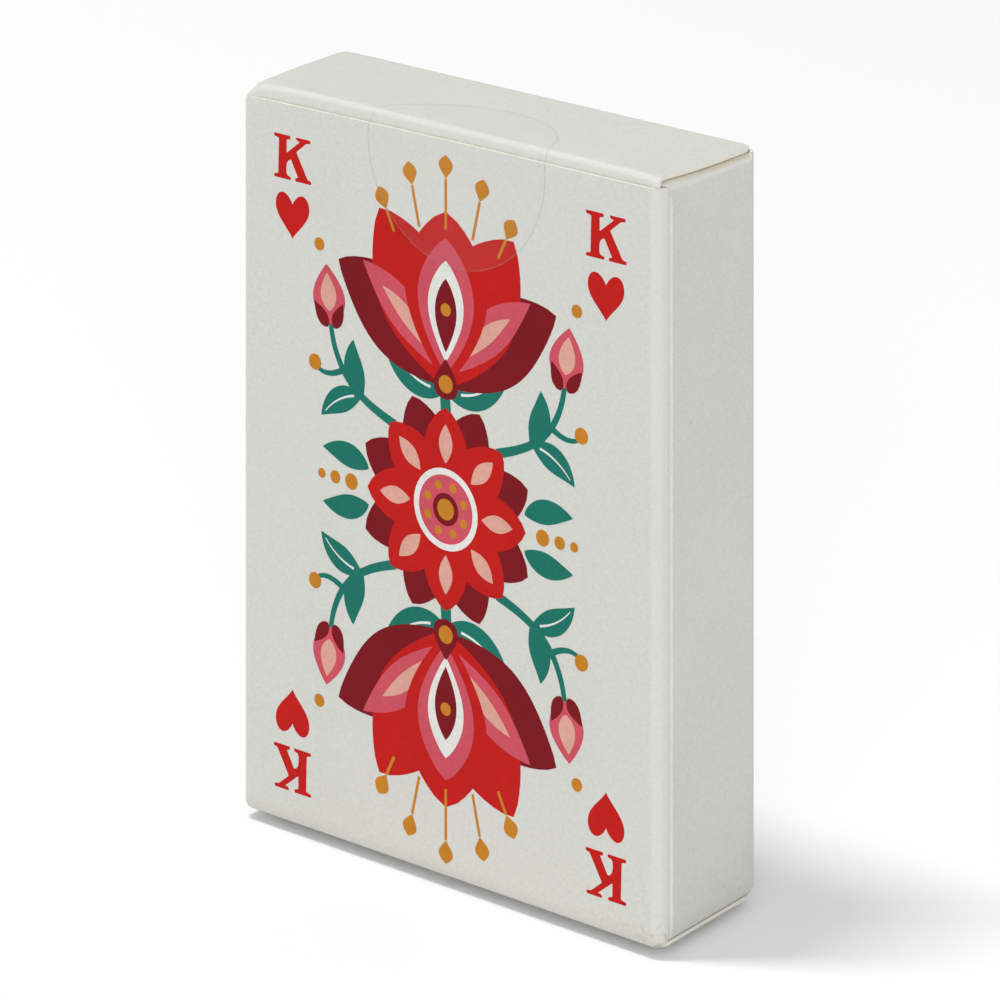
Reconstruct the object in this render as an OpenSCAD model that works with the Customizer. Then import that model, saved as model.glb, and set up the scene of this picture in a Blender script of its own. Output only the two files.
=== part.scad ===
// Playing card deck in its tuck box.
// The box is folded and glued from one sheet of board. Its lid, tuck flap and two
// dust flaps turn on creases, a round clear seal holds the lid shut, and the cards
// stand inside against the back panel.
// Millimetres, +Z up, the front panel faces -Y, the origin is the middle of the base.

/* [Cards] */
// Width of a card
card_w = 63; // [56:0.5:66]
// Height of a card
card_h = 88; // [80:0.5:96]
// Thickness of a card
card_t = 0.28; // [0.25:0.01:0.31]
// Air between two cards of the stack
card_air = 0.01; // [0.01:0.005:0.03]
// Radius of a card's corners
card_corner_r = 3.5; // [2:0.5:6]
// Jokers added to the four suits
joker_count = 2; // [0:1:2]

/* [Board] */
// Thickness of the box's board
board_t = 0.45; // [0.35:0.05:0.55]
// Outer radius of the folds between fixed panels
fold_r = 1.2; // [0.8:0.1:1.6]
// Radius of the bead on which the lid and the dust flaps turn
crease_r = 0.6; // [0.55:0.05:0.8]
// Width of the glue flap behind the right side panel
glue_flap_w = 13; // [8:1:15]
// How far the right side panel's free edge lies behind the front
side_edge_setback = 2.9; // [2:0.1:4]
// How far the base panels' free edges lie inside the box's outline
base_inset = 0.3; // [0.1:0.1:0.6]
// Length of the dust flaps at the base
base_dust_len = 18; // [8:1:26]
// Gap between the upright folds and the base panel under them
corner_gap = 0.15; // [0.1:0.05:0.4]

/* [Closure] */
// How far the front panel's free top edge lies below the top
lip_drop = 0.8; // [0.6:0.1:1.2]
// How far the lid's ends lie inside the box's outline
lid_inset = 0.15; // [0.1:0.05:0.4]
// Outer radius of the lid's front bend
lid_bend_r = 1.5; // [1.2:0.1:2]
// Depth of the tuck flap below the bend
tuck_len = 7.5; // [5:0.5:8]
// Inner radius to which the tuck flap is curled
tuck_curl_r = 12.5; // [10:0.5:16]
// Radius of the tuck flap's corners
tuck_corner_r = 4; // [2:0.5:5]
// Length of the dust flaps under the lid
dust_len = 14; // [10:0.5:16]
// Radius of the dust flaps' corners
dust_corner_r = 2; // [1:0.5:2.5]
// Relief cut at each end of a crease
crease_relief = 0.7; // [0.4:0.1:1.2]

/* [Clearances] */
// Room beside the cards, on each side
side_play = 0.5; // [0.3:0.05:1]
// Room above the cards
head_play = 0.65; // [0.5:0.05:1.5]
// Room between the cards and the back panel
back_play = 0.1; // [0.05:0.05:0.3]
// Room between the tuck flap's foot and the cards
tuck_room = 0.45; // [0.2:0.05:1]
// Gap between the tuck flap and the front panel
slide_gap = 0.15; // [0.1:0.05:0.3]
// Gap between the lid and the dust flaps under it
layer_gap = 0.1; // [0.08:0.02:0.3]
// Gap between a crease's bead and the flap that turns on it
crease_gap = 0.06; // [0.04:0.01:0.1]

/* [Seal] */
// Diameter of the clear seal
seal_d = 28; // [20:1:34]
// Thickness of the seal's film
seal_t = 0.06; // [0.05:0.01:0.1]
// Thickness of the adhesive under the film
seal_gap = 0.05; // [0.04:0.01:0.08]
// How far the seal's middle lies to the right of the box's middle
seal_shift = 1.4; // [0:0.2:3]
// How far the seal's middle lies below the top
seal_drop = 2.5; // [1.5:0.5:4]

/* [Hidden] */
// The cards, front to back
suits = ["spades", "hearts", "clubs", "diamonds"];
ranks = [
  "ace", "two", "three", "four", "five", "six", "seven", "eight", "nine", "ten",
  "jack", "queen", "king"
];
joker_names = ["joker_red", "joker_black"];
suit_cards = [for (suit = suits) for (rank = ranks) str(rank, "_of_", suit)];
jokers = [for (i = [0 : 1 : joker_count - 1]) joker_names[i]];
card_names = concat(suit_cards, jokers);
card_count = len(card_names);
card_pitch = card_t + card_air;
deck_d = card_count * card_pitch - card_air;

// How far the curled tuck flap reaches back at its foot
tuck_reach = board_t + tuck_curl_r - sqrt(pow(tuck_curl_r, 2) - pow(tuck_len, 2));
front_room = slide_gap + tuck_reach + tuck_room;

// The box's outer size, worked out from the cards and the layers of board
box_w = card_w + 2 * side_play + 3 * board_t;
box_d = deck_d + back_play + front_room + 2 * board_t;
base_h = 3 * board_t;
box_h = base_h + card_h + head_play + 2 * board_t + layer_gap;
left_x = -box_w / 2;
right_x = box_w / 2;
front_y = -box_d / 2;
back_y = box_d / 2;

// The glue flap lies against the inside of the right side panel
glue_x = right_x - board_t;
// How deep a glued layer is pressed into the next, so that both are one solid
glue_lap = board_t / 2;
// Feet of the upright folds
fold_foot_z = board_t + corner_gap;
// Tops of the front panel, and of the side panels with their dust flaps
lip_z = box_h - lip_drop;
rim_z = box_h - board_t - layer_gap;
// Axes of the creases
lid_axis_y = back_y - crease_r;
lid_axis_z = box_h - crease_r;
dust_axis_x = right_x - crease_r;
dust_axis_z = rim_z - crease_r;
// Ends of the dust flaps' creases, along the side panels
dust_front_y = front_y + side_edge_setback + crease_relief;
dust_back_y = lid_axis_y - crease_r - crease_relief;
// The lid's front bend, the bead at its end and the tuck flap that hangs from it
bend_y = front_y + board_t + slide_gap + lid_bend_r;
bend_z = box_h - lid_bend_r;
bead_r = board_t / 2;
tuck_y = bend_y - lid_bend_r;
tuck_axis_y = tuck_y + bead_r;
tuck_w = box_w - 3 * board_t - 2 * fold_r;
tuck_top_z = bend_z - bead_r - crease_gap;
tuck_low_z = bend_z - tuck_len;
// How far a dust flap's back edge draws away from the lid's crease, for each unit of its length
dust_back_share = 0.72;
// How far its front edge draws back, for each unit of its length
dust_front_share = 0.07;
// The cards stand on the base, between the side panels
deck_x = (left_x + glue_x) / 2;
deck_back_y = back_y - board_t - back_play;
// Overrun of the shapes that cut
cut_over = board_t;

board_color = [0.86, 0.86, 0.83];
film_color = [0.9, 0.92, 0.92, 0.3];
card_color = [0.95, 0.94, 0.91];

// Names of the pieces
// Piece to show

$fn = 32;

// A box between two corners
module block(low, high) {
  translate(low)
    cube(high - low);
}

// A quarter turn of board round the Z axis, from +X to +Y
module bend(r, length) {
  rotate_extrude(angle = 90)
    translate([r - board_t, 0])
      square([board_t, length]);
}

// An upright fold, with its middle at a point and its quarter turn started at an angle
module upright_fold(x, y, turn, low_z, high_z) {
  translate([x, y, low_z])
    rotate([0, 0, turn])
      bend(fold_r, high_z - low_z);
}

// A fold along X, from the back or the front panel to the base
module cross_fold(y, z, turn, low_x, high_x) {
  translate([low_x, y, z])
    rotate([90, 0, 90])
      rotate([0, 0, turn])
        bend(fold_r, high_x - low_x);
}

// A fold along Y, from a side panel to the base
module long_fold(x, z, turn, front, back) {
  translate([x, back, z])
    rotate([90, 0, 0])
      rotate([0, 0, turn])
        bend(fold_r, back - front);
}

// A round bar along X
module bar_x(y, z, r, low_x, high_x) {
  translate([low_x, y, z])
    rotate([0, 90, 0])
      cylinder(r = r, h = high_x - low_x);
}

// A round bar along Y
module bar_y(x, z, r, front, back) {
  translate([x, back, z])
    rotate([90, 0, 0])
      cylinder(r = r, h = back - front);
}

// The front panel, folded under the box into the outer base panel
module front_panel() {
  low_x = left_x + fold_r;
  high_x = glue_x - fold_r;
  block([low_x, front_y, fold_r], [high_x, front_y + board_t, lip_z]);
  cross_fold(front_y + fold_r, fold_r, 180, low_x, high_x);
  block(
    [left_x + base_inset, front_y + fold_r, 0],
    [right_x - base_inset, back_y - base_inset, board_t]
  );
}

// The back panel, with the lid's crease at its top and the inner base panel at its foot
module back_panel() {
  low_x = left_x + fold_r;
  high_x = right_x - fold_r;
  foot_z = board_t + fold_r;
  block([low_x, back_y - board_t, foot_z], [high_x, back_y, lid_axis_z]);
  bar_x(lid_axis_y, lid_axis_z, crease_r, low_x + crease_relief, high_x - crease_relief);
  cross_fold(back_y - fold_r, foot_z, 270, low_x, high_x);
  block(
    [low_x, front_y + fold_r, board_t - glue_lap],
    [high_x - board_t, back_y - fold_r, 2 * board_t]
  );
}

// A side panel on the right, with a dust flap's crease at its top and a dust flap at its foot
module side_panel(front) {
  foot_z = 2 * board_t + fold_r;
  foot_front_y = max(front, front_y + fold_r + crease_relief);
  foot_back_y = back_y - fold_r - crease_relief;
  foot_x = right_x - fold_r;
  block([right_x - board_t, front, foot_z], [right_x, back_y - fold_r, dust_axis_z]);
  bar_y(dust_axis_x, dust_axis_z, crease_r, dust_front_y, dust_back_y);
  long_fold(foot_x, foot_z, 270, foot_front_y, foot_back_y);
  block(
    [foot_x - base_dust_len, foot_front_y, 2 * board_t],
    [foot_x, foot_back_y, base_h]
  );
  block(
    [foot_x - base_dust_len, foot_front_y, 2 * board_t - glue_lap],
    [foot_x - board_t, foot_back_y, base_h]
  );
}

// The glue flap, folded from the front panel and glued inside the right side panel
module glue_flap() {
  flap_front_y = front_y + fold_r;
  flap_back_y = flap_front_y + glue_flap_w;
  flap_low_z = base_h + fold_r;
  flap_high_z = dust_axis_z - crease_r - crease_gap;
  block([glue_x - board_t, flap_front_y, flap_low_z], [glue_x, flap_back_y, flap_high_z]);
  block(
    [glue_x - board_t, front_y + side_edge_setback, flap_low_z],
    [glue_x + glue_lap, flap_back_y, flap_high_z]
  );
}

module carton() {
  color(board_color) {
    front_panel();
    back_panel();
    side_panel(front_y + side_edge_setback);
    mirror([1, 0, 0])
      side_panel(front_y + fold_r);
    glue_flap();
    upright_fold(left_x + fold_r, front_y + fold_r, 180, fold_foot_z, lip_z);
    upright_fold(glue_x - fold_r, front_y + fold_r, 270, fold_foot_z, lip_z);
    upright_fold(left_x + fold_r, back_y - fold_r, 90, fold_foot_z, rim_z);
    upright_fold(right_x - fold_r, back_y - fold_r, 0, fold_foot_z, rim_z);
  }
}

// The lid's front bend between two ends, turned over from the lid to the tuck flap's crease
module lid_bend(half_w) {
  translate([-half_w, bend_y, bend_z])
    rotate([90, 0, 90])
      rotate([0, 0, 90])
        bend(lid_bend_r, 2 * half_w);
}

module lid() {
  half_w = box_w / 2 - lid_inset;
  lid_back_y = lid_axis_y - crease_r - crease_gap;
  ear_z = lip_z + layer_gap;
  color(board_color) {
    block([-half_w, bend_y, box_h - board_t], [half_w, lid_back_y, box_h]);
    intersection() {
      lid_bend(half_w);
      block([-half_w, tuck_y, ear_z], [half_w, bend_y, box_h]);
    }
    translate([deck_x, 0, 0]) {
      lid_bend(tuck_w / 2);
      bar_x(tuck_axis_y, bend_z, bead_r, -tuck_w / 2, tuck_w / 2);
    }
  }
}

// The tuck flap's outline from the front, with two rounded corners
module tuck_outline() {
  half_w = tuck_w / 2;
  corner_x = half_w - tuck_corner_r;
  corner_z = tuck_low_z + tuck_corner_r;
  intersection() {
    translate([-half_w, tuck_low_z])
      square([tuck_w, tuck_top_z - tuck_low_z]);
    union() {
      translate([-half_w, corner_z])
        square([tuck_w, tuck_len]);
      translate([-corner_x, tuck_low_z])
        square([2 * corner_x, tuck_len]);
      for (side = [-1, 1])
        translate([side * corner_x, corner_z])
          circle(r = tuck_corner_r);
    }
  }
}

// The tuck flap is curled so that it slides up past the front panel as the lid opens
module tuck_flap() {
  outer_r = tuck_curl_r + board_t;
  color(board_color)
    translate([deck_x, 0, 0])
      intersection() {
        translate([0, tuck_y + outer_r, bend_z])
          rotate([0, 90, 0])
            difference() {
              cylinder(r = outer_r, h = tuck_w + cut_over, center = true, $fn = 180);
              cylinder(r = tuck_curl_r, h = tuck_w + 2 * cut_over, center = true, $fn = 180);
            }
        translate([0, tuck_y + tuck_curl_r / 2, 0])
          rotate([90, 0, 0])
            linear_extrude(height = tuck_curl_r, center = true)
              tuck_outline();
      }
}

// A dust flap's outline from above, from its crease inwards along -X
module dust_outline() {
  start = crease_r + crease_gap;
  tip = dust_len - dust_corner_r;
  back_tip_y = lid_axis_y - dust_back_share * dust_len - crease_r - dust_corner_r;
  front_tip_y = dust_front_y + dust_front_share * dust_len + dust_corner_r;
  root_back_y = dust_back_y - dust_back_share * start;
  hull() {
    translate([-start - dust_corner_r, dust_front_y])
      square([dust_corner_r, root_back_y - dust_front_y]);
    translate([-tip, front_tip_y])
      circle(r = dust_corner_r);
    translate([-tip, back_tip_y])
      circle(r = dust_corner_r);
  }
}

// The right dust flap, which lies under the lid
module dust_flap() {
  translate([dust_axis_x, 0, rim_z - board_t])
    linear_extrude(height = board_t)
      dust_outline();
}

module right_dust_flap() {
  color(board_color)
    dust_flap();
}

module left_dust_flap() {
  color(board_color)
    mirror([1, 0, 0])
      dust_flap();
}

// The round seal, bent over the top edge: one part on the lid, one part on the front panel
module clear_seal() {
  seal_r = seal_d / 2;
  corner_y = front_y + lip_drop;
  inner_r = lip_drop + seal_gap;
  // How far the bend's two ends lie from the seal's middle, measured along the film
  near_end = seal_drop - lip_drop;
  far_end = near_end + (inner_r + seal_t / 2) * PI / 2;
  bend_half_w = sqrt(pow(seal_r, 2) - pow(far_end, 2));
  top_z = box_h + seal_gap;
  face_y = front_y - seal_gap;
  color(film_color)
    translate([seal_shift, 0, 0]) {
      intersection() {
        translate([0, face_y, box_h - seal_drop])
          rotate([90, 0, 0])
            cylinder(r = seal_r, h = seal_t, $fn = 64);
        block(
          [-seal_r, face_y - seal_t, box_h - seal_drop - seal_r],
          [seal_r, face_y, lip_z]
        );
      }
      translate([-bend_half_w, corner_y, lip_z])
        rotate([90, 0, 90])
          rotate([0, 0, 90])
            rotate_extrude(angle = 90)
              translate([inner_r, 0])
                square([seal_t, 2 * bend_half_w]);
      intersection() {
        translate([0, corner_y - far_end, top_z])
          cylinder(r = seal_r, h = seal_t, $fn = 64);
        block([-seal_r, corner_y, top_z], [seal_r, corner_y + seal_r, top_z + seal_t]);
      }
    }
}

// A card's outline
module card_outline() {
  corner_x = card_w / 2 - card_corner_r;
  corner_z = card_h / 2 - card_corner_r;
  square([card_w, 2 * corner_z], center = true);
  square([2 * corner_x, card_h], center = true);
  for (x = [-corner_x, corner_x], z = [-corner_z, corner_z])
    translate([x, z])
      circle(r = card_corner_r, $fn = 20);
}

// One card of the stack, counted from the back
module card(place) {
  color(card_color)
    translate([deck_x, deck_back_y - place * card_pitch, base_h + card_h / 2])
      rotate([90, 0, 0])
        linear_extrude(height = card_t)
          card_outline();
}

carton();
lid();
tuck_flap();
left_dust_flap();
right_dust_flap();
clear_seal();
for (place = [0 : card_count - 1])
  card(place);
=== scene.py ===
# %% [markdown]
# # A playing card deck in its tuck box
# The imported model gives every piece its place, in metres, with the box standing on the origin
# and its printed front facing -Y. This lesson dresses that frame: the box is folded again from
# thin board, the front is printed, and the cards inside get their finish. Shapes are worked out
# in millimetres with numpy and scaled to metres as they become meshes.

# %% The shared frame
import math
import bpy
import numpy as np
from mathutils import Matrix, Vector


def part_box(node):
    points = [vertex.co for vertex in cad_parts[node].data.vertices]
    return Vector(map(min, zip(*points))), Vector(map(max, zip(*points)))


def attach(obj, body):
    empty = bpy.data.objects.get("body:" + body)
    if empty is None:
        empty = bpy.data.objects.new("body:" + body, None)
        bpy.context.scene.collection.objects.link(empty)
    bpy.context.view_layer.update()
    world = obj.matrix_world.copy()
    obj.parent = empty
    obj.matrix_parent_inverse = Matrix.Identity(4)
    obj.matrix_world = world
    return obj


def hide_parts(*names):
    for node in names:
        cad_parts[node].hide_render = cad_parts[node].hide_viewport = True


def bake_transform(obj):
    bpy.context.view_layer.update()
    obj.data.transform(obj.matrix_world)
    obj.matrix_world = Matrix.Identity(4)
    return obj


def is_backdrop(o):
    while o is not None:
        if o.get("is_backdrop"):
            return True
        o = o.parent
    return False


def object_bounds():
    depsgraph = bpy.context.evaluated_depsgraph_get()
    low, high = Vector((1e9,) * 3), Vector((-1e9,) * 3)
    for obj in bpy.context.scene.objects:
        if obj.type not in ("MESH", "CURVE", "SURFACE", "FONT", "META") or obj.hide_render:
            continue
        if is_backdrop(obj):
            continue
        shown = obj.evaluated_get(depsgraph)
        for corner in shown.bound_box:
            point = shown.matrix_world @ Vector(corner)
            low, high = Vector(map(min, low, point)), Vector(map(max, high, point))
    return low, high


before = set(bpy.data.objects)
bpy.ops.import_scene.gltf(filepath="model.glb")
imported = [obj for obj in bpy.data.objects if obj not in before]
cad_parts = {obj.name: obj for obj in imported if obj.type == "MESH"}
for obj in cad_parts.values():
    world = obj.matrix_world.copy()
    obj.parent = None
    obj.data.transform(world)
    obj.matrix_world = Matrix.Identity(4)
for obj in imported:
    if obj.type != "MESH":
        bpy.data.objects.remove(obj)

cad_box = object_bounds()
scene = bpy.context.scene
MM = 0.001
(LEFT, FRONT, _), (RIGHT, BACK, _) = (np.array(corner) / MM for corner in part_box("carton"))
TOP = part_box("lid")[1].z / MM
print(f"box: {RIGHT - LEFT:.2f} x {BACK - FRONT:.2f} x {TOP:.2f} mm, {len(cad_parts)} nodes")

# %% [markdown]
# ## The camera
# The upright edges run parallel in the picture, as with a shift lens: the film plane stays
# upright while the lens looks down. A large camera shift would push the object out of every
# other view, so the same picture is made with a skewed camera. The camera hangs on an empty, and
# its parent inverse holds three axes: sideways, straight up, and the slanting line of sight.

# %% Camera
YAW = math.radians(38.33)
PICTURE_PX, FOCAL_PX, HORIZON_PX = 1000, 5557.0, -1554.0
EYE_BACK, EYE_ASIDE, EYE_UP = 0.6873, 0.0006, 0.2974
SENSOR = 36
away = Vector((-math.sin(YAW), math.cos(YAW), 0))
aside = Vector((math.cos(YAW), math.sin(YAW), 0))
upward = Vector((0, 0, 1))
lean = (PICTURE_PX / 2 - HORIZON_PX) / FOCAL_PX
stretch = math.hypot(1, lean)
sight = (away - lean * upward) / stretch
eye = -EYE_BACK * away + EYE_ASIDE * aside + EYE_UP * upward

camera = bpy.data.objects.new("camera", bpy.data.cameras.new("camera"))
camera.data.sensor_width = SENSOR
camera.data.lens = SENSOR * FOCAL_PX * stretch / PICTURE_PX
rail = bpy.data.objects.new("camera_rail", None)
for thing in (rail, camera):
    scene.collection.objects.link(thing)
camera.parent = rail
camera.matrix_parent_inverse = Matrix(
    [[aside[i], upward[i], -sight[i], eye[i]] for i in range(3)] + [[0, 0, 0, 1]]
)
scene.camera = camera
scene.view_settings.view_transform = "Standard"
downward = math.degrees(math.atan(lean))
print(f"camera: lens {camera.data.lens:.1f} mm, {downward:.1f} degrees above the floor")

# %% [markdown]
# ## Short cuts for nodes
# The floor, the world and every finish are node trees, and these short functions build them.

# %% Node helpers
def srgb(red, green, blue):
    """A colour written as screen values from 0 to 255, as the linear values that nodes take."""
    c = np.array([red, green, blue]) / 255
    linear = np.where(c <= 0.04045, c / 12.92, ((c + 0.055) / 1.055) ** 2.4)
    return (*linear.tolist(), 1)


def add_node(tree, kind, **values):
    """A new shader node of a kind, with values for some of its inputs."""
    node = tree.nodes.new(f"ShaderNode{kind}")
    for label, value in values.items():
        node.inputs[label].default_value = value
    return node


def wire(value, socket):
    """Links an output to an input of the same tree."""
    value.id_data.links.new(value, socket)


def noise(tree, vector, scale, detail=2.0, stretch=None):
    """A noise texture from 0 to 1, with its coordinates stretched first where that is asked."""
    node = add_node(tree, "TexNoise", Scale=scale, Detail=detail)
    if stretch:
        mapping = add_node(tree, "Mapping", Scale=stretch)
        wire(vector, mapping.inputs["Vector"])
        vector = mapping.outputs["Vector"]
    wire(vector, node.inputs["Vector"])
    return node.outputs[0]


def remap(tree, value, low, high, to_low=0.0, to_high=1.0):
    """Maps low..high to to_low..to_high, held at both ends."""
    ends = {"From Min": low, "From Max": high, "To Min": to_low, "To Max": to_high}
    node = add_node(tree, "MapRange", **ends)
    wire(value, node.inputs["Value"])
    return node.outputs["Result"]


def maths(tree, operation, first, second):
    """One operation on two values, each a socket or a number."""
    node = add_node(tree, "Math")
    node.operation = operation
    for value, socket in ((first, node.inputs[0]), (second, node.inputs[1])):
        if isinstance(value, (int, float)):
            socket.default_value = value
        else:
            wire(value, socket)
    return node.outputs[0]


def times(tree, first, second):
    """The product of two values."""
    return maths(tree, "MULTIPLY", first, second)


def blend_colour(tree, share, first, second):
    """Mixes two colours, each a socket or a colour, by a share from 0 to 1."""
    node = add_node(tree, "Mix")
    node.data_type = "RGBA"
    wire(share, node.inputs["Factor"])
    for value, socket in ((first, node.inputs[6]), (second, node.inputs[7])):
        if isinstance(value, tuple):
            socket.default_value = value
        else:
            wire(value, socket)
    return node.outputs[2]


def seen_directly(tree):
    """A value of 1 on rays from the camera, and on rays that a gloss or a film sends on, else 0."""
    rays = add_node(tree, "LightPath").outputs
    seen = maths(tree, "MAXIMUM", rays["Is Camera Ray"], rays["Is Glossy Ray"])
    return maths(tree, "MAXIMUM", seen, rays["Is Transmission Ray"])


print("node helpers ready")

# %% [markdown]
# ## Floor and light
# The box stands on white paper. A pale world gives most of the light, so that no side is dark. A
# long strip lamp above throws a soft shadow to the right, and two weak lamps lift the front and
# the side. The floor is a plain diffuse sheet, so that it keeps the shadow, and adds a little
# white where it is seen directly, which lifts it to the white of the picture without putting more
# light on the box. It lies a millimetre low, because a folded base touches the table only at its
# middle: under the edges that leaves the dark line of a contact shadow.

# %% Floor
FLOOR_Z, FLOOR_HALF = -0.0011, 4
FLOOR_WHITE, FLOOR_LIFT = (0.95, 0.95, 0.95, 1), 0.06
floor_paper = bpy.data.materials.new("floor_paper")
floor_paper.use_nodes = True
tree = floor_paper.node_tree
tree.nodes.clear()
matt = add_node(tree, "BsdfDiffuse", Color=FLOOR_WHITE)
lift = add_node(tree, "Emission")
wire(times(tree, seen_directly(tree), FLOOR_LIFT), lift.inputs["Strength"])
both = add_node(tree, "AddShader")
wire(matt.outputs[0], both.inputs[0])
wire(lift.outputs[0], both.inputs[1])
wire(both.outputs[0], add_node(tree, "OutputMaterial").inputs["Surface"])

mesh = bpy.data.meshes.new("floor")
square = np.array([(-1, -1), (1, -1), (1, 1), (-1, 1)]) * FLOOR_HALF
mesh.from_pydata([(x, y, FLOOR_Z) for x, y in square.tolist()], [], [(0, 1, 2, 3)])
mesh.materials.append(floor_paper)
floor = bpy.data.objects.new("floor", mesh)
scene.collection.objects.link(floor)
floor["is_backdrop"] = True
print(f"floor: {2 * FLOOR_HALF} m of white paper, kept out of the part")

# %% Lamps and world
LAMP_AWAY, LAMP_AIM = 2.0, Vector((0, 0, 0.045))
WORLD_LIGHT, WORLD_SEEN = 0.51, 1.0


def softbox(name, towards, along, size, level):
    """A rectangular area lamp in a given direction, aimed at the box, its first side lying along
    another direction. Its watts are pi squared times the distance squared times the level, so a
    level of 1 shows a colour facing it as it is written."""
    lamp = bpy.data.lights.new(name, "AREA")
    lamp.shape, lamp.size, lamp.size_y = "RECTANGLE", *size
    lamp.energy = math.pi**2 * LAMP_AWAY**2 * level
    back, along = Vector(towards).normalized(), Vector(along)
    side = (along - along.dot(back) * back).normalized()
    turn = Matrix((side, back.cross(side), back)).transposed()
    obj = bpy.data.objects.new(name, lamp)
    obj.matrix_world = Matrix.Translation(LAMP_AIM + LAMP_AWAY * back) @ turn.to_4x4()
    scene.collection.objects.link(obj)
    print(f"{name}: {lamp.energy:.1f} W")


softbox("front_light", (0.53, -0.80, 0.28), (0, 0, 1), (1.2, 1.2), 0.30)
softbox("side_light", (0.90, 0.10, 0.42), (0, 0, 1), (1.0, 1.0), 0.045)
softbox("top_light", (-0.20, -0.15, 0.97), (0.8, 0.6, 0), (0.55, 0.18), 0.44)

world = bpy.data.worlds.new("pale_room")
world.use_nodes = True
tree = world.node_tree
tree.nodes.clear()
room = add_node(tree, "Background", Color=(1, 1, 1, 1))
level = remap(tree, seen_directly(tree), 0, 1, WORLD_LIGHT, WORLD_SEEN)
wire(level, room.inputs["Strength"])
output = add_node(tree, "OutputWorld")
wire(room.outputs[0], output.inputs["Surface"])
scene.world = world
print("world: pale, and white where it is seen directly")

# %% [markdown]
# ## Finishes
# Uncoated board is never one flat colour: it has fine grain, short fibres that lie across the
# sheet, a faint cloudiness and a few dark flecks. Ink on it lies a little unevenly. These effects
# are shared by several materials, so each is a node group with its own sockets, which puts out
# only values. Every pattern reads Object coordinates, which are metres here, so a scale of 2000
# gives grains of half a millimetre.

# %% Shared effects
AT = ("Vector", "NodeSocketVector", (0, 0, 0))


def value_group(name, inputs, outputs):
    """An empty shader group with named float and vector inputs and float outputs."""
    tree = bpy.data.node_groups.new(name, "ShaderNodeTree")
    for label, kind, value in inputs:
        socket = tree.interface.new_socket(label, in_out="INPUT", socket_type=kind)
        socket.default_value = value
    for label in outputs:
        tree.interface.new_socket(label, in_out="OUTPUT", socket_type="NodeSocketFloat")
    return tree, tree.nodes.new("NodeGroupInput"), tree.nodes.new("NodeGroupOutput")


def mix(tree, *parts):
    """The sum of values, each given with its share."""
    total, *others = (times(tree, value, share) for value, share in parts)
    for other in others:
        total = maths(tree, "ADD", total, other)
    return total


tree, source, sink = value_group("board_grain", [AT], ["Tone", "Flecks", "Height"])
where = source.outputs["Vector"]
grain = noise(tree, where, 3600, 3)
fibre = noise(tree, where, 1700, 2, (1, 1, 1.6))
cloud = noise(tree, where, 60, 3)
wire(mix(tree, (grain, 0.45), (fibre, 0.33), (cloud, 0.22)), sink.inputs["Tone"])
spots = add_node(tree, "TexVoronoi", Scale=210)
wire(where, spots.inputs["Vector"])
near = remap(tree, spots.outputs["Distance"], 0.02, 0.05, 1, 0)
chosen = remap(tree, noise(tree, where, 160, 1), 0.55, 0.66)
wire(times(tree, near, chosen), sink.inputs["Flecks"])
wire(mix(tree, (grain, 0.5), (fibre, 0.5)), sink.inputs["Height"])
BOARD_GRAIN = tree

smudge_inputs = [AT, ("Place", *AT[1:]), ("Reach", "NodeSocketFloat", 0.01)]
tree, source, sink = value_group("soft_smudge", smudge_inputs, ["Mask"])
gap = add_node(tree, "VectorMath")
gap.operation = "DISTANCE"
wire(source.outputs["Vector"], gap.inputs[0])
wire(source.outputs["Place"], gap.inputs[1])
way_out = maths(tree, "DIVIDE", gap.outputs["Value"], source.outputs["Reach"])
fall = maths(tree, "MAXIMUM", maths(tree, "SUBTRACT", 1.0, way_out), 0.0)
patchy = remap(tree, noise(tree, source.outputs["Vector"], 1300, 4), 0.50, 0.68)
wire(times(tree, fall, patchy), sink.inputs["Mask"])
SOFT_SMUDGE = tree

tree, source, sink = value_group("ink_lay", [AT], ["Depth", "Height"])
where = source.outputs["Vector"]
lay = mix(tree, (noise(tree, where, 1500, 3), 0.55), (noise(tree, where, 160, 2), 0.45))
wire(remap(tree, lay, 0.35, 0.65), sink.inputs["Depth"])
wire(lay, sink.inputs["Height"])
INK_LAY = tree
print("shared effects:", ", ".join(g.name for g in bpy.data.node_groups))

# %% [markdown]
# ## Board
# One sheet makes the whole box, so three related materials cover it: the smooth outer face, the
# paler raw edge where the sheet was cut, and the plainer inside. A point attribute named fold,
# measured on each sheet later, is 0 on flat board and grows on a bend. There the colour turns a
# little lighter, partly as stretched, rubbed board and partly as a painted highlight, and near 2
# and above it turns to the cream core. Small smudges sit where the lower front corner was handled,
# and the lowest two millimetres turn a little darker towards the bottom.

# %% Board materials
def new_material(name, roughness):
    """A material with one Principled shader, its tree and its Object coordinates."""
    material = bpy.data.materials.new(name)
    material.use_nodes = True
    tree = material.node_tree
    tree.nodes.clear()
    shader = add_node(tree, "BsdfPrincipled", Roughness=roughness)
    wire(shader.outputs[0], add_node(tree, "OutputMaterial").inputs["Surface"])
    return material, tree, shader, add_node(tree, "TexCoord").outputs["Object"]


def use_group(tree, group, vector, **values):
    """Places a shared group and gives its inputs their values."""
    node = add_node(tree, "Group")
    node.node_tree = group
    wire(vector, node.inputs["Vector"])
    for label, value in values.items():
        node.inputs[label].default_value = value
    return node.outputs


def add_bump(tree, shader, height, strength, distance):
    """Turns a height into the shader's normal."""
    node = add_node(tree, "Bump", Strength=strength, Distance=distance)
    wire(height, node.inputs["Height"])
    wire(node.outputs["Normal"], shader.inputs["Normal"])


CREAM_CORE, FLECK, GREY_BROWN = srgb(216, 204, 176), srgb(132, 124, 108), srgb(150, 138, 118)
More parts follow.
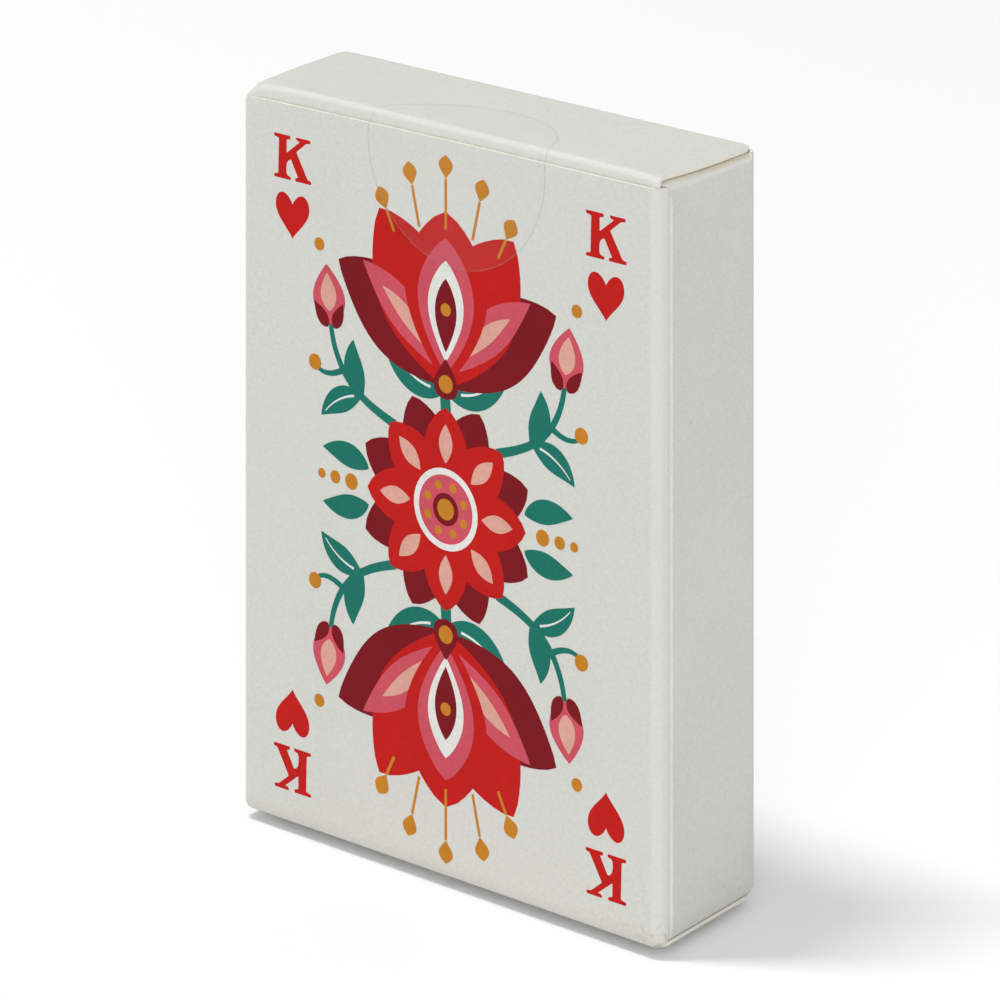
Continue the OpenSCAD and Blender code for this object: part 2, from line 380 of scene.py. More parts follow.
# Each smudge's place and reach in metres, and its depth.
SMUDGES = [
    ((0.0320, -0.0094, 0.0006), 0.0028, 0.85),
    ((0.0262, -0.0101, 0.0045), 0.009, 0.20),
    ((-0.0322, -0.0098, 0.062), 0.012, 0.12),
]


def board_material(name, pale, shade, worn_and_highlit, roughness, smudged=False):
    """Board: two tones mixed by the grain, flecks, bends lighter by rubbing and a painted
    highlight and, on the outside, smudges and a darker foot.
    """
    material, tree, shader, where = new_material(name, roughness)
    grain = use_group(tree, BOARD_GRAIN, where)
    tone = grain["Tone"]
    colour = blend_colour(tree, remap(tree, tone, 0.38, 0.62), shade, pale)
    fold = add_node(tree, "Attribute")
    fold.attribute_name = "fold"
    wear_and_highlight = fold.outputs["Fac"]
    # The lighter colour on bends stands for rubbed board and for a painted highlight together.
    colour = blend_colour(tree, times(tree, wear_and_highlight, 0.55), colour, worn_and_highlit)
    # From near 2 on the colour turns to the cream core: partly a worn line, partly painted
    # highlight.
    through = remap(tree, wear_and_highlight, 1.85, 2.7, 0.0, 0.9)
    through = times(tree, through, remap(tree, tone, 0.42, 0.58, 0.6, 1.0))
    colour = blend_colour(tree, through, colour, CREAM_CORE)
    colour = blend_colour(tree, times(tree, grain["Flecks"], 0.30), colour, FLECK)
    if smudged:
        # Over the lowest two millimetres the outside turns darker towards the bottom.
        axes = add_node(tree, "SeparateXYZ")
        wire(where, axes.inputs[0])
        dust = remap(tree, axes.outputs["Z"], 0.0002, 0.0025, 0.16, 0.0)
        colour = blend_colour(tree, dust, colour, GREY_BROWN)
        for place, reach, depth in SMUDGES:
            spot = use_group(tree, SOFT_SMUDGE, where, Place=place, Reach=reach)
            colour = blend_colour(tree, times(tree, spot["Mask"], depth), colour, GREY_BROWN)
    wire(colour, shader.inputs["Base Color"])
    dull = remap(tree, tone, 0.3, 0.7, roughness + 0.06, roughness - 0.06)
    wire(dull, shader.inputs["Roughness"])
    add_bump(tree, shader, grain["Height"], 0.25, 0.00003)
    return material


board_face = board_material(
    "board_face", srgb(212, 213, 207), srgb(202, 203, 196), srgb(226, 226, 220), 0.60, smudged=True
)
board_edge = board_material(
    "board_raw_edge", srgb(232, 230, 218), srgb(222, 218, 203), srgb(232, 230, 218), 0.85
)
board_inside = board_material(
    "board_inside", srgb(221, 220, 213), srgb(212, 211, 203), srgb(222, 221, 214), 0.80
)
print("board:", board_face.name, board_edge.name, board_inside.name)

# %% [markdown]
# ## Folding a sheet
# Real board bends: each panel runs over a rounded fold into the next. A bevelled block can't show
# that, nor the raw edges, so each sheet is built as a net. Every panel and every fold is a grid
# of points, a function of two parameters, and grids that share a border are welded there. The
# Solidify modifier then gives the net its thickness inwards, with the raw edge as another
# material, and its result becomes the mesh.

# %% Grid helpers
KEYS_PER_MM, KEY_SHIFT = 2000, 0.123


def clamp(values):
    """Values held between 0 and 1."""
    return np.clip(values, 0, 1)


def run(*stops):
    """Numbers from the first stop on, through (stop, steps) pairs, each stop hit exactly."""
    parts = [np.array([stops[0]])]
    for stop, steps in stops[1:]:
        parts.append(np.linspace(parts[-1][-1], stop, steps + 1)[1:])
    return np.concatenate(parts)


def spread(*parts):
    """Points from one number or array for each coordinate, repeated until all shapes agree."""
    return np.stack(np.broadcast_arrays(*parts), -1)


def arc(centre, radius, start, end, steps=10):
    """Points on a circle: centre plus radius times (cosine, sine) of an angle in degrees."""
    a = np.radians(np.linspace(start, end, steps + 1))
    return spread(centre[0] + radius * np.cos(a), centre[1] + radius * np.sin(a))


def along_x(xs, profile):
    """A profile of (y, z) points carried along X: row i is a profile point, column j a place."""
    return spread(xs, profile[:, :1], profile[:, 1:])


def along_y(ys, profile):
    """A profile of (x, z) points carried along Y: row i is a profile point, column j a place."""
    return spread(profile[:, :1], ys, profile[:, 1:])


def weld(grids):
    """One net from grids of points: a quad for each cell, and points at the same place made one.
    The shift keeps round numbers off the border between two keys. Where a grid runs to a pole, its
    last cells lose a corner and become triangles."""
    points, quads, start = [], [], 0
    for grid in grids:
        index = start + np.arange(grid.shape[0] * grid.shape[1]).reshape(grid.shape[:2])
        cells = np.stack([index[:-1, :-1], index[1:, :-1], index[1:, 1:], index[:-1, 1:]], -1)
        points.append(grid.reshape(-1, 3))
        quads.append(cells.reshape(-1, 4))
        start += index.size
    points, quads = np.concatenate(points), np.concatenate(quads)
    keys = np.round(points * KEYS_PER_MM + KEY_SHIFT).astype(np.int64)
    _, first, place = np.unique(keys, axis=0, return_index=True, return_inverse=True)
    quads = place.reshape(-1)[quads]
    pole = quads[:, 0] == quads[:, 3]
    return points[first], quads[~pole].tolist() + quads[pole][:, :3].tolist()


print("grid helpers ready")

# %% Sheet helpers
BOARD = 0.45
FOLD = 1.2


def new_object(name, points, faces, materials):
    """A mesh object at the origin from points in millimetres and lists of corners."""
    mesh = bpy.data.meshes.new(name)
    mesh.from_pydata((np.asarray(points) * MM).tolist(), [], faces)
    for material in materials:
        mesh.materials.append(material)
    obj = bpy.data.objects.new(name, mesh)
    scene.collection.objects.link(obj)
    return obj


def measure_folds(obj, wear_and_highlight, rub_and_top_highlight):
    """Writes the fold attribute: how far a point's normal leans from all three axes, full from 20
    degrees on, times this sheet's amount for its folds, to which a further painted highlight is
    added where a fold looks up. It fades out on folds that look down: the lightening is a painted
    highlight as well as rubbing, and follows the light from above."""
    mesh = obj.data
    normals = np.empty(len(mesh.vertices) * 3, np.float32)
    mesh.vertex_normals.foreach_get("vector", normals)
    normals = normals.reshape(-1, 3)
    lean, up = 1 - np.abs(normals).max(1), normals[:, 2]
    # Painted highlight: the lightening grows as a fold faces up and fades where it faces down.
    leaning = clamp(lean / (1 - math.cos(math.radians(20)))) * clamp(1 + up / 0.3)
    fold = leaning * (wear_and_highlight + rub_and_top_highlight * clamp((up - 0.42) / 0.26))
    layer = mesh.attributes.new("fold", "FLOAT", "POINT")
    layer.data.foreach_set("value", fold.astype(np.float32))


def fold_sheet(name, grids, wear_and_highlight, rub_and_top_highlight=0.0):
    """A sheet of board: the welded net, thickened inwards, with face, raw edge and inside."""
    points, faces = weld(grids)
    obj = new_object(name, points, faces, [board_face, board_edge, board_inside])
    measure_folds(obj, wear_and_highlight, rub_and_top_highlight)
    solid = obj.modifiers.new("board", "SOLIDIFY")
    solid.thickness, solid.offset = BOARD * MM, -1
    solid.use_even_offset = solid.use_quality_normals = True
    solid.material_offset, solid.material_offset_rim = 2, 1
    flat, graph = obj.data, bpy.context.evaluated_depsgraph_get()
    obj.data = bpy.data.meshes.new_from_object(obj.evaluated_get(graph))
    obj.modifiers.clear()
    bpy.data.meshes.remove(flat)
    obj.data.name = name
    obj.data.shade_smooth()
    obj.data.set_sharp_from_angle(angle=math.radians(38))
    print(f"{name}: {len(grids)} grids, {len(obj.data.polygons)} faces")
    return obj


print(f"board: {BOARD} mm thick, folds of {FOLD} mm radius")

# %% [markdown]
# ## The carton
# The walls are one strip: a glue flap, the front, the left side, the back and the right side,
# whose raw edge shows beside the front fold. There the fold is wider and bulges a little before it
# slips under the side, whose edge lifts with it. Seen from above the strip is a path of straight
# runs and quarter circles, and each wall is that path carried up through a list of levels. Where
# an upright fold meets the base, the board is crushed round, so the foot of the fold is an eighth
# of a ball. The front panel's top edge isn't quite level: it falls a little towards the left.

# %% Carton measures
BACK_FOOT, GLUE_FOOT, LOOSE_FROM = BOARD + FOLD, 2.55, 86.55
SIDE_HEAD, BACK_HEAD, LIP, RIM = 88.95, 90.1, TOP - 0.8, TOP - 0.55
LEVELS = run(
    FOLD, (BACK_FOOT, 1), (GLUE_FOOT, 1), (LOOSE_FROM, 14),
    (SIDE_HEAD, 2), (BACK_HEAD, 1), (LIP, 1), (RIM, 1),
)
GLUE_X, FOLD_X, WIDE_FOLD = RIGHT - BOARD, RIGHT + 0.12, 1.5
# The right side's raw edge, the glue flap's turn just under it, and the side flaps' back ends.
SEAM_Y, TUCKED_Y, UNDERLAP, FLAP_END = -7.45, -7.5, 0.25, 8.8
# Where the folds begin: left, right, front and back, and gx and gy at the wide right front fold.
lx, rx, fy, by = LEFT + FOLD, RIGHT - FOLD, FRONT + FOLD, BACK - FOLD
gx, gy = FOLD_X - WIDE_FOLD, FRONT + WIDE_FOLD


def wall(path, low, high):
    """A wall: the plan path repeated at every level from low to high."""
    z = LEVELS[(LEVELS > low - 1e-6) & (LEVELS < high + 1e-6)]
    return spread(path[:, 0], path[:, 1], z[:, None])


def ball_foot(centre, foot, start, end, radius=FOLD):
    """The foot of an upright fold: rows of a ball from its pole at the foot up to its equator. A
    wider fold has a small circle in place of the pole."""
    turn = np.radians(np.linspace(start, end, 11))
    rise = np.radians(np.linspace(90, 0, 11))[:, None]
    reach = radius - FOLD + FOLD * np.cos(rise)
    x, y = centre[0] + reach * np.cos(turn), centre[1] + reach * np.sin(turn)
    return spread(x, y, foot + FOLD * (1 - np.sin(rise)))


def lip_height(x):
    """Top edge of the front panel: 0.66 mm under the lid at the middle, lower towards the left, and
    bent down over the last 2.6 mm there."""
    left_end = 0.4 * clamp((-30 - x) / 2.6) ** 2
    return TOP - 0.66 + 0.0035 * x - 0.011 * (np.sqrt(x**2 + 9) - x) / 2 - left_end


print(f"lip: {lip_height(lx):.2f} to {lip_height(rx):.2f} mm up")

# %% Carton walls
front_xs = run(gx, (lx, 26))
back_xs = run(lx, (-29.4, 2), (29.4, 24), (gx, 1), (rx, 1))
left_ys = run(fy, (-FLAP_END, 1), (FLAP_END, 9), (by, 1))
right_ys = run(by, (FLAP_END, 1), (-3.2, 6), (SEAM_Y, 5))
strip_ys = run(TUCKED_Y, (gy, 6))
strip_share = (1 - np.cos(np.linspace(0, math.pi, 7))) / 2
strip_xs = GLUE_X + UNDERLAP + (FOLD_X - GLUE_X - UNDERLAP) * strip_share
glue_ys = run(4.1, (-6.2, 5), (-7.3, 1), (TUCKED_Y, 1))
glue_xs = GLUE_X + np.interp(-glue_ys, [6.2, 7.3, -TUCKED_Y], [-0.05, 0.1, UNDERLAP])
strip = wall(spread(strip_xs, strip_ys), FOLD, LIP)
above_side = clamp((strip[..., 2] - SIDE_HEAD) / (LIP - SIDE_HEAD))
strip[..., 2] -= 0.15 * above_side * (strip[..., 1] - gy)
right_wall = wall(spread(RIGHT, right_ys), FOLD, SIDE_HEAD)
ends = clamp(np.minimum(right_wall[..., 2] - FOLD, SIDE_HEAD - right_wall[..., 2]) / 1.3)
right_wall[..., 0] += 0.2 * clamp((-3.5 - right_wall[..., 1]) / 3.95) ** 2 * ends
walls = [
    wall(spread(glue_xs, glue_ys), GLUE_FOOT, SIDE_HEAD),
    strip,
    wall(arc((gx, gy), WIDE_FOLD, 0, -90), FOLD, LIP),
    wall(spread(front_xs, FRONT), FOLD, LIP),
    wall(arc((lx, fy), FOLD, -90, -180), FOLD, LIP),
    wall(spread(LEFT, left_ys), FOLD, SIDE_HEAD),
    wall(arc((lx, by), FOLD, 180, 90), BACK_FOOT, RIM),
    wall(spread(back_xs, BACK), BACK_FOOT, BACK_HEAD),
    wall(arc((rx, by), FOLD, 90, 0), BACK_FOOT, RIM),
    right_wall,
]
print(f"walls: {len(walls)} panels and folds")

# %% [markdown]
# Four flaps close the base. The front runs under the box as the outer base panel, whose raw edges
# show along both sides, the back gives the inner panel, and each side gives a dust flap. A dust
# flap's fold rests on the outer panel and its board then climbs over the inner one.

# %% Carton base
FOOT_R, INSET, CLIMB_X = 0.73, 0.3, 29.5


def round_back(xs, half, radius):
    """How far a flap's back edge is drawn forward at x by a round corner: the radius less the
    height of its circle."""
    past = np.clip(np.abs(xs) - (half - radius), 0, radius)
    return radius - np.sqrt(radius**2 - past**2)


base_half = RIGHT - INSET
base_xs = np.r_[run(base_half, (gx, 6)), front_xs[1:], run(lx, (LEFT + INSET, 4))[1:]]
base_back = BACK - INSET - round_back(base_xs, base_half, 1.9)
base_y = base_back + run(0, (0.9, 8), (1, 6))[:, None] * (fy - base_back)
near_front = 1 - np.sqrt(1 - 0.97 * clamp((-7.4 - base_y) / 1.5) ** 2)
base_x = base_xs - near_front * (base_xs - np.clip(base_xs, lx, gx))
climb = np.linspace(0, 1, 7)[1:]
foot_x = RIGHT - FOOT_R
under_x = np.r_[run(rx - 18, (CLIMB_X, 4)), CLIMB_X + (foot_x - CLIMB_X) * climb]
under_z = 2 * BOARD - 0.43 * np.r_[np.zeros(5), climb * climb * (3 - 2 * climb)]
foot_arc = arc((foot_x, FOLD), FOOT_R, 270, 360)
foot_profile = np.r_[spread(under_x, under_z), foot_arc[1:]]
strip_turn = arc((0, FOLD), FOLD, 324, 360, 4)
base = [
    spread(base_x, base_y, 0.0),
    along_x(front_xs, arc((fy, FOLD), FOLD, 270, 180)),
    along_x(back_xs[2:-2], spread(run(fy, (by, 6)), BOARD)),
    along_x(back_xs, arc((by, BACK_FOOT), FOLD, 270, 360)),
    along_y(right_ys[1:], foot_profile),
    along_y(left_ys[1:-1], foot_profile * (-1, 1)),
    spread(strip_xs - FOLD + strip_turn[:, :1], strip_ys, strip_turn[:, 1:]),
    ball_foot((gx, gy), 0, 0, -90, WIDE_FOLD),
    ball_foot((lx, fy), 0, -90, -180),
    ball_foot((lx, by), BOARD, 180, 90),
    ball_foot((rx, by), BOARD, 90, 0),
]
print(f"base: {len(base)} panels and folds")

# %% Carton sheet
# The strip beside the seam gets a painted highlight through the fold attribute.
SEAM_HIGHLIGHT = 1.3


def settle(grid):
    """Moves the points near the front panel's top edge with that edge: all of the way at the lip,
    none where the walls still stand firm, and none from 3.2 mm behind the front on."""
    x, y, z = np.moveaxis(grid, -1, 0)
    part = clamp((z - LOOSE_FROM) / (LIP - LOOSE_FROM)) * clamp((FRONT + 3.2 - y) / 2)
    return spread(x, y, z + part * (lip_height(x) - LIP))


def paint_seam_highlight(mesh):
    """Raises the fold attribute on the strip between the front fold and the side's raw edge: a
    painted highlight that makes the strip, which faces away and lies in shade, nearly as light as
    the fold.
    """
    count = len(mesh.vertices)
    at, fold = np.empty(count * 3, np.float32), np.empty(count, np.float32)
    mesh.vertices.foreach_get("co", at)
    x, y, _ = at.reshape(-1, 3).T / MM
    strip = clamp((x - RIGHT + 0.6) / 0.2) * clamp((y - gy + 0.6) / 0.6) * (y < SEAM_Y - 0.02)
    layer = mesh.attributes["fold"].data
    layer.foreach_get("value", fold)
    layer.foreach_set("value", np.maximum(fold, SEAM_HIGHLIGHT * strip).astype(np.float32))


carton_board = fold_sheet("carton_board", [settle(grid) for grid in walls + base], 0.6)
paint_seam_highlight(carton_board.data)
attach(carton_board, "carton")
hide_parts("carton")

# %% [markdown]
# ## The lid
# The lid is the back panel carried on: over the rear crease, along the top, round a tight bend and
# steeply down behind the front panel. It doesn't lie flat. The folded flaps under it push it up
# towards the front, and its left front corner is pressed down. That is one height over x and y,
# added to the flat sheet.

# %% Lid shape
CREASE = 0.6
LID_AXIS = (BACK - CREASE, TOP - CREASE)
BEND_R, BEND_Y, STEEP = 0.8, FRONT + 1.47, math.radians(80)
EAR_Y, NOSE, TUCK_Z = FRONT + 0.48, FRONT + 0.6, TOP - 1.5
TUCK_LOW, TUCK_HIGH = (corner.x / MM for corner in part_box("tuck_flap"))
LID_HALF, CREASE_HALF = RIGHT - 0.35, 30.8


def spring(x, y):
    """How far the lid and the flaps under it stand off their flat place: up to 0.8 mm up at the
    front, growing with the square of the way there, less the press on the left front corner."""
    ahead = y - FRONT
    rise = 0.8 * (1 - np.exp(-(x - LEFT) / 4)) * (1 - 0.22 * clamp((x - 28) / 4.5))
    press = 0.18 * clamp((11 - ahead) / 6) + 0.77 * clamp((4.2 - ahead) / 2.8) ** 2.2
    return rise * clamp((18 - ahead) / 15.5) ** 2 - press * clamp((-29.7 - x) / 2.6) ** 2


lid_xs = np.unique(np.r_[
    np.linspace(-LID_HALF, -30.775, 7), [TUCK_LOW], np.linspace(-30, -26, 6),
    np.linspace(-26, 30, 24), [TUCK_HIGH], np.linspace(30.775, LID_HALF, 6),
])
crease_xs = lid_xs[np.abs(lid_xs) < CREASE_HALF]
in_tuck = (lid_xs > TUCK_LOW - 1e-6) & (lid_xs < TUCK_HIGH + 1e-6)
lid_back = LID_AXIS[0] - round_back(lid_xs, LID_HALF, 1.0)
top_y = lid_back + run(0, (0.75, 10), (1, 10))[:, None] * (BEND_Y - lid_back)
top_z = TOP + spring(lid_xs, top_y)
bend_top = top_z[-1]
# The bend's free ends stop just above the lip at both corners and dip behind it in between.
ear_low = 0.06 - 0.4 * clamp(np.minimum(lid_xs + 31.9, 31.48 - lid_xs) / 0.3)
ear_end = np.maximum(lip_height(lid_xs) + ear_low, TUCK_Z + 0.1)
turned = np.arccos(np.clip(1 - (bend_top - ear_end) / BEND_R, math.cos(STEEP), 1))
tilt = np.linspace(0, 1, 13)[1:, None] * turned
bend_y, bend_z = BEND_Y - BEND_R * np.sin(tilt), bend_top - BEND_R * (1 - np.cos(tilt))
fall = np.linspace(0, 1, 6)[1:, None] * np.maximum(bend_z[-1] - ear_end, 0.02)
ear_y = np.vstack([bend_y, bend_y[-1] - fall / math.tan(STEEP)])
ear_z = np.vstack([bend_z, bend_z[-1] - fall])
ear_y -= np.linspace(0, 1, len(ear_y) + 1)[1:, None] * (ear_y[-1] - EAR_Y)
share = np.linspace(0, 1, 6)[:, None]
nose_y = ear_y[-1] + share * (NOSE - ear_y[-1])
nose_z = ear_z[-1] + share * (TUCK_Z - ear_z[-1])
off_flat = bend_top - TOP
print(f"lid: front bend {off_flat.min():.2f} to {off_flat.max():.2f} mm off its flat height")

# %% Lid
rear = np.r_[[(BACK, BACK_HEAD)], arc(LID_AXIS, CREASE, 0, 90)]
lid_grids = [
    along_x(crease_xs, rear),
    spread(lid_xs, np.vstack([top_y, ear_y]), np.vstack([top_z, ear_z])),
    spread(lid_xs[in_tuck], nose_y[:, in_tuck], nose_z[:, in_tuck]),
]
lid_board = fold_sheet("lid_board", lid_grids, 0.7)
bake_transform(lid_board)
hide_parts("lid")

# %% [markdown]
# ## The tuck flap
# The flap that slides in behind the front panel keeps the curl it got when the box was first
# folded. Its profile is an arc, and its two lower corners are rounded: each row of the grid is
# narrowed by what a corner circle takes away at that depth.

# %% Tuck flap
CURL, TUCK_DROP, TUCK_CORNER = 12.5 + BOARD, 7.5, 4.0
curl_end = math.asin(TUCK_DROP / CURL)
lower = 0.5 + 0.5 * np.sin(np.linspace(0, math.pi / 2, 15))[1:]
turns = np.r_[np.linspace(0, curl_end / 2, 8), curl_end * lower]
curl_y, curl_z = NOSE + CURL * (1 - np.cos(turns)), TUCK_Z - CURL * np.sin(turns)
depth = CURL * turns
past = np.clip(depth - (depth[-1] - TUCK_CORNER), 0, TUCK_CORNER)
half = (TUCK_HIGH - TUCK_LOW) / 2 - TUCK_CORNER + np.sqrt(TUCK_CORNER**2 - past**2)
share = np.sin(np.linspace(-math.pi / 2, math.pi / 2, 41))
tuck_x = (TUCK_LOW + TUCK_HIGH) / 2 + share * half[:, None]
tuck_rows = spread(tuck_x, curl_y[:, None], curl_z[:, None])
tuck_board = fold_sheet("tuck_flap_board", [tuck_rows], 0.25)
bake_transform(tuck_board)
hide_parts("tuck_flap")

# %% [markdown]
# ## The dust flaps
# A dust flap is a side panel carried on under the lid. Its fold leans over slowly and then turns
# sharply, in two arcs. Its back edge slants away from the lid's crease and its tip is rounded, so
# each row runs between a front and a back limit, and both ends of its fold reach out a little to
# close the corners. The left flap has its x turned round, and its columns too, so that its face
# stays outside. Both are lifted with the lid.

# %% Dust flaps
DUST_TIP = 2.0
FLAP_TOP = RIM - 0.12
LEAN_R, TURN_R, LEAN = 1.7, 0.5, 45
CORNER_Y = -8.9
lean_sine = math.sin(math.radians(LEAN))
lean_z = FLAP_TOP - LEAN_R * lean_sine - TURN_R * (1 - lean_sine)
lean_arc = arc((RIGHT - LEAN_R, lean_z), LEAN_R, 0, LEAN, 8)
turn_x = lean_arc[-1, 0] - TURN_R * math.cos(math.radians(LEAN))
turn_arc = arc((turn_x, FLAP_TOP - TURN_R), TURN_R, LEAN, 90, 10)
flap_reach = turn_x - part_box("right_dust_flap")[0].x / MM
full = flap_reach - DUST_TIP
tip = full + DUST_TIP * np.sin(np.linspace(0, math.pi / 2, 10))[1:]
reach = np.r_[np.linspace(0, full, 10)[1:], tip]
fold_rows = np.r_[[(RIGHT, SIDE_HEAD)], lean_arc, turn_arc[1:]]
profile = np.r_[fold_rows, spread(turn_x - reach, FLAP_TOP)]
inward = np.r_[np.zeros(len(fold_rows)), reach][:, None]
past = np.clip(inward - flap_reach + DUST_TIP, 0, DUST_TIP)
draw = DUST_TIP - np.sqrt(DUST_TIP**2 - past**2)
lifted = clamp((profile[:, 1:] - SIDE_HEAD) / (FLAP_TOP - SIDE_HEAD))
corner_out = clamp((lifted - 0.5) / 0.4) * clamp(1 - inward / 3)
back_limit = FLAP_END + 0.45 * corner_out - 0.70 * inward - draw
for side, x, front in (("right", 1, SEAM_Y), ("left", -1, -8.75)):
    front_limit = front - (front - CORNER_Y) * corner_out + 0.12 * inward + draw
    flap_x = x * profile[:, :1]
    flap_y = back_limit + np.linspace(0, 1, 25) * (front_limit - back_limit)
    droop = 0.08 * np.clip(np.maximum(SEAM_Y - flap_y, flap_y - FLAP_END), 0, 1.2) ** 2
    flap_z = profile[:, 1:] + lifted * spring(flap_x, flap_y) - droop
    rows = spread(flap_x, flap_y, flap_z)
    # The flaps' folds get a strong painted highlight, most where they face up, which also turns
    # them to the cream core colour.
    board = fold_sheet(f"{side}_dust_flap_board", [rows[:, ::x]], 1.8, 1.0)
    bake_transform(board)
    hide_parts(f"{side}_dust_flap")

# %% [markdown]
# ## The clear seal
# A round clear sticker holds the lid shut. All that shows is a faint line where its edge catches
# the light. Its film lies flat on the front, goes taut over the gap at the lip and lies
# down on the lid. So the disc is drawn flat, in polar coordinates, and its upward coordinate is
# then read as a distance along that bent line. Its edge share goes into an attribute, because
# only the edge has a visible tone.

# %% Seal material
clear_film, tree, shader, where = new_material("clear_film", 0.16)
rim = add_node(tree, "Attribute")
rim.attribute_name = "edge_share"
edge_line = remap(tree, rim.outputs["Fac"], 0.984, 0.996)
haze = remap(tree, noise(tree, where, 90, 3), 0.3, 0.7, 0.006, 0.016)
film_tone = blend_colour(tree, edge_line, srgb(226, 227, 224), srgb(150, 149, 142))
wire(film_tone, shader.inputs["Base Color"])
film_share = maths(tree, "MAXIMUM", haze, times(tree, edge_line, 0.10))
wire(film_share, shader.inputs["Alpha"])
add_bump(tree, shader, noise(tree, where, 300, 2), 0.06, 0.00002)
print("film:", clear_film.name)

# %% Seal line
SEAL_R, SEAL_X, SEAL_DOWN = 13.9, 1.85, 2.2
STEP, SOFTEN = 0.04, 11
over_y = run(BEND_Y, (BEND_Y + 16, 64))
over_z = TOP + spring(SEAL_X, over_y)
crest = arc((BEND_Y, over_z[0] - BEND_R), BEND_R, 90 + math.degrees(STEEP), 90, 24)
lip_z = lip_height(SEAL_X + SEAL_R)
rise_line = spread(FRONT, np.linspace(lip_z - 22, lip_z, 40))
taut = np.r_[rise_line, crest[:-1], spread(over_y, over_z)]
length = np.r_[[0], np.cumsum(np.hypot(*np.diff(taut, axis=0).T))]
fine = np.arange(0, length[-1], STEP)
lines = [np.pad(np.interp(fine, length, part), SOFTEN // 2, mode="edge") for part in taut.T]
mean = np.full(SOFTEN, 1 / SOFTEN)
soft = np.stack([np.convolve(line, mean, mode="valid") for line in lines], -1)
slope = np.gradient(soft, axis=0)
outward = spread(-slope[:, 1], slope[:, 0]) / np.hypot(*slope.T)[:, None]
on_front = soft[:, 1] < lip_z - 0.5
middle = np.interp(TOP - SEAL_DOWN, soft[on_front, 1], fine[on_front])
print(f"seal line: {length[-1]:.1f} mm long, the disc's middle at {middle:.1f} mm")

# %% Seal
RINGS, SPOKES = 26, 120
FILM_OUT, FILM_IN = 0.10, 0.045
rings = SEAL_R * np.sin(np.linspace(0.02, 1, RINGS) * math.pi / 2)
angles = np.linspace(0, 2 * math.pi, SPOKES, endpoint=False)
flat_x = SEAL_X + rings[:, None] * np.cos(angles)
flat_s = middle + rings[:, None] * np.sin(angles)


def film_face(lift):
    """The disc's rings at a distance outside the bent line, in one list of points."""
    y, z = (np.interp(flat_s, fine, part) for part in (soft + lift * outward).T)
    return spread(flat_x, y, z).reshape(-1, 3)


points = np.r_[film_face(FILM_OUT), film_face(FILM_IN)]
under = RINGS * SPOKES
grid = np.arange(under).reshape(RINGS, SPOKES)
beside = np.roll(grid, -1, axis=1)
outer = np.stack([grid[:-1], grid[1:], beside[1:], beside[:-1]], -1).reshape(-1, 4)
inner = outer[:, ::-1] + under
edge = np.stack([grid[-1], grid[-1] + under, beside[-1] + under, beside[-1]], -1)
faces = [*outer.tolist(), *inner.tolist(), *edge.tolist()]
faces += [grid[0].tolist(), (grid[0][::-1] + under).tolist()]
seal = new_object("clear_seal_film", points, faces, [clear_film])
edge_share = np.tile(np.repeat(rings / SEAL_R, SPOKES), 2).astype(np.float32)
seal.data.attributes.new("edge_share", "FLOAT", "POINT").data.foreach_set("value", edge_share)
seal.data.shade_smooth()
seal.data.set_sharp_from_angle(angle=math.radians(50))
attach(seal, "lid")
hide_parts("clear_seal")
print(f"seal: {2 * SEAL_R:.0f} mm across, {len(faces)} faces")

# %% [markdown]
# ## Ink
# The print is crisp, so it isn't painted into the board's material: each colour is its own piece,
# thin shapes of ink that stand a few hundredths of a millimetre proud. A prism of an outline is
# closed: a face, a back sunk in the board, and a strip of sides. Each shape lies a hair higher
# than the one before, so that overlapping colours never share a plane.

# %% Ink materials
def ink_material(name, colour):
    """Ink: its colour, deeper where it lies thick, on the grain of the board below."""
    material, tree, shader, where = new_material(name, 0.5)
    shader.inputs["Specular IOR Level"].default_value = 0.06
    lay = use_group(tree, INK_LAY, where)
    deep = tuple(0.86 * c for c in colour[:3]) + (1,)
    wire(blend_colour(tree, lay["Depth"], deep, colour), shader.inputs["Base Color"])
    wire(remap(tree, lay["Depth"], 0, 1, 0.46, 0.60), shader.inputs["Roughness"])
    add_bump(tree, shader, lay["Height"], 0.15, 0.00002)
    return material


INKS = {
    "red": srgb(194, 30, 27),
    "burgundy": srgb(124, 23, 31),
    "pink": srgb(206, 84, 99),
    "blush": srgb(222, 166, 150),
    "teal": srgb(31, 117, 103),
    "gold": srgb(198, 130, 40),
    "white": srgb(230, 230, 225),
}
ink_materials = {name: ink_material(f"ink_{name}", colour) for name, colour in INKS.items()}
print("inks:", ", ".join(INKS))

# %% Ink outlines
def teardrop(length, width, belly=1.0, tip=0.9):
    """A petal or leaf from the origin upwards: at share s of its length the half width is half the
    width times sine(pi s^belly)^tip, so belly moves the widest place and tip sharpens both ends."""
    s = np.linspace(0, 1, 23)
    side = width / 2 * np.sin(np.pi * s**belly).clip(0) ** tip
    half = spread(side, length * s)
    return np.r_[half, (half * (-1, 1))[-2:0:-1]]


def disc(radius, points=28):
    """A circle round the origin."""
    return arc((0, 0), radius, 0, 360, points)[:-1]


def heart(width, height):
    """A heart round its middle: x is the sine to the power 2.3, y a sum of four cosines."""
    t = np.linspace(0, 2 * math.pi, 56, endpoint=False)
    x = -np.sign(np.sin(t)) * np.abs(np.sin(t)) ** 2.3 / 2
    y = 13 * np.cos(t) - 5 * np.cos(2 * t) - 2 * np.cos(3 * t) - np.cos(4 * t)
    return spread(x * width, (y - y.min()) / np.ptp(y) * height - height / 2)


def bend(outline, turn):
    """Bends an outline sideways: its height becomes a path on a circle that turns by an angle in
    degrees."""
    span = outline[:, 1].max()
    angle = np.radians(turn) * outline[:, 1] / span
    radius = span / np.radians(turn)
    x = radius - (radius - outline[:, 0]) * np.cos(angle)
    return spread(x, (radius - outline[:, 0]) * np.sin(angle))


